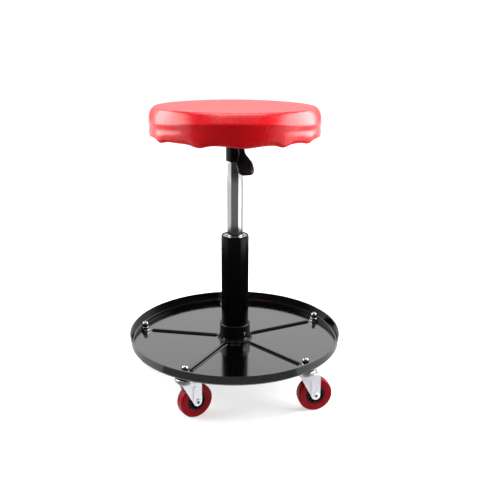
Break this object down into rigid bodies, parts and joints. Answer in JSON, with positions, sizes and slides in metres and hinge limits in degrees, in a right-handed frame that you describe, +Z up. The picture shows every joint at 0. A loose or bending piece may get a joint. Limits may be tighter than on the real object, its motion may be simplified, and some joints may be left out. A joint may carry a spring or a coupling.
{
  "type": "roller work stool",
  "caption": "Rolling work stool with a padded round seat on a lockable gas strut, a steel column and a round rimmed parts tray carried on swivel casters.",
  "frame": {"origin": "on the floor below the middle of the column, where the wheels stand", "axes": "+Z up along the column, -Y towards the pictured front, +X to the right"},
  "size_m": [0.4059, 0.406, 0.5338],
  "materials": {
    "tray_enamel": "gloss black enamel",
    "column_enamel": "gloss black enamel",
    "cylinder_chrome": "polished chrome plate",
    "nut_chrome": "bright chrome plate",
    "fork_zinc": "bright zinc plate",
    "zinc": "zinc plate",
    "bright_steel": "ground steel",
    "brass": "machined",
    "bush_steel": "polished steel",
    "black_rubber": "matte",
    "red_tread": "satin polyurethane",
    "core_plastic": "satin moulded",
    "paddle_plastic": "fine-grained moulded",
    "red_vinyl": "semi-gloss grained vinyl",
    "foam": "open-cell foam",
    "plywood": "raw plywood"
  },
  "bodies": {
    "base": {"tray_pan": "tray_enamel", "hub_socket": "column_enamel", "hub_set_screw": "bright_steel", "backing_plate": "tray_enamel", "hub_ring_nut": "zinc", "column_tube": "column_enamel", "guide_bush": "bush_steel", "column_end_plate": "zinc", "bearing_lower_washer": "bright_steel", "bearing_balls": "bright_steel", "caster_stems": "zinc", "caster_cap_nuts": "nut_chrome", "caster_washers": "nut_chrome", "caster_race_cups": "zinc", "swivel_balls": "bright_steel"},
    "strut": {"piston_rod": "bright_steel", "piston_head": "brass", "piston_seal": "black_rubber", "bearing_upper_washer": "bright_steel", "rubber_bumper": "black_rubber", "rod_clip": "zinc"},
    "seat": {"gas_cylinder": "cylinder_chrome", "inner_tube": "bright_steel", "rod_seal_guide": "black_rubber", "valve_body": "brass", "seat_socket": "column_enamel", "seat_plate": "column_enamel", "lever_bracket": "column_enamel", "lever_pin": "zinc", "seat_board": "plywood", "seat_foam": "foam", "seat_cover": "red_vinyl", "seat_bolts": "zinc", "tee_nuts": "zinc", "cover_staples": "bright_steel"},
    "lever": {"lever_arm": "bright_steel", "lever_paddle": "paddle_plastic"},
    "release_pin": {"release_pin": "bright_steel"},
    "caster_fork_1": {"fork_1": "fork_zinc", "axle_1": "zinc"},
    "caster_wheel_1": {"tread_1": "red_tread", "core_1": "core_plastic"},
    "caster_fork_2": {"fork_2": "fork_zinc", "axle_2": "zinc"},
    "caster_wheel_2": {"tread_2": "red_tread", "core_2": "core_plastic"},
    "caster_fork_3": {"fork_3": "fork_zinc", "axle_3": "zinc"},
    "caster_wheel_3": {"tread_3": "red_tread", "core_3": "core_plastic"},
    "caster_fork_4": {"fork_4": "fork_zinc", "axle_4": "zinc"},
    "caster_wheel_4": {"tread_4": "red_tread", "core_4": "core_plastic"},
    "caster_fork_5": {"fork_5": "fork_zinc", "axle_5": "zinc"},
    "caster_wheel_5": {"tread_5": "red_tread", "core_5": "core_plastic"}
  },
  "joints": [
    {"name": "seat_swivel", "type": "hinge", "parent": "base", "child": "strut", "pos_m": [0, 0, 0.07785], "axis": [0, 0, 1], "continuous": true},
    {"name": "seat_lift", "type": "slide", "parent": "strut", "child": "seat", "axis": [0, 0, 1], "range_m": [-0.125, 0]},
    {"name": "lever_pull", "type": "hinge", "parent": "seat", "child": "lever", "pos_m": [0.0068, -0.02092, 0.4718], "axis": [-0.9511, -0.309, 0], "range_deg": [0, 7], "stiffness_Nm_per_rad": 2, "springref_deg": -2.86},
    {"name": "pin_press", "type": "slide", "parent": "seat", "child": "release_pin", "axis": [0, 0, -1], "range_m": [0, 0.0028], "stiffness_N_per_m": 20, "springref_m": -0.0005},
    {"name": "caster_swivel_1", "type": "hinge", "parent": "base", "child": "caster_fork_1", "pos_m": [0.12595, -0.1318, 0.0722], "axis": [0, 0, 1], "continuous": true},
    {"name": "wheel_spin_1", "type": "hinge", "parent": "caster_fork_1", "child": "caster_wheel_1", "pos_m": [0.14362, -0.12836, 0.0315], "axis": [-0.1908, 0.9816, 0], "continuous": true},
    {"name": "caster_swivel_2", "type": "hinge", "parent": "base", "child": "caster_fork_2", "pos_m": [0.16427, 0.07906, 0.0722], "axis": [0, 0, 1], "continuous": true},
    {"name": "wheel_spin_2", "type": "hinge", "parent": "caster_fork_2", "child": "caster_wheel_2", "pos_m": [0.16739, 0.09678, 0.0315], "axis": [-0.9848, 0.1736, 0], "continuous": true},
    {"name": "caster_swivel_3", "type": "hinge", "parent": "base", "child": "caster_fork_3", "pos_m": [-0.02443, 0.18066, 0.0722], "axis": [0, 0, 1], "continuous": true},
    {"name": "wheel_spin_3", "type": "hinge", "parent": "caster_fork_3", "child": "caster_wheel_3", "pos_m": [-0.0067, 0.17753, 0.0315], "axis": [0.1736, 0.9848, 0], "continuous": true},
    {"name": "caster_swivel_4", "type": "hinge", "parent": "base", "child": "caster_fork_4", "pos_m": [-0.17936, 0.0326, 0.0722], "axis": [0, 0, 1], "continuous": true},
    {"name": "wheel_spin_4", "type": "hinge", "parent": "caster_fork_4", "child": "caster_wheel_4", "pos_m": [-0.16557, 0.04417, 0.0315], "axis": [-0.6428, 0.766, 0], "continuous": true},
    {"name": "caster_swivel_5", "type": "hinge", "parent": "base", "child": "caster_fork_5", "pos_m": [-0.08643, -0.16051, 0.0722], "axis": [0, 0, 1], "continuous": true},
    {"name": "wheel_spin_5", "type": "hinge", "parent": "caster_fork_5", "child": "caster_wheel_5", "pos_m": [-0.07133, -0.15071, 0.0315], "axis": [-0.5446, 0.8387, 0], "continuous": true}
  ],
  "couplings": [
    {"joint": "pin_press", "follows": "lever_pull", "m_per_rad": 0.022}
  ]
}
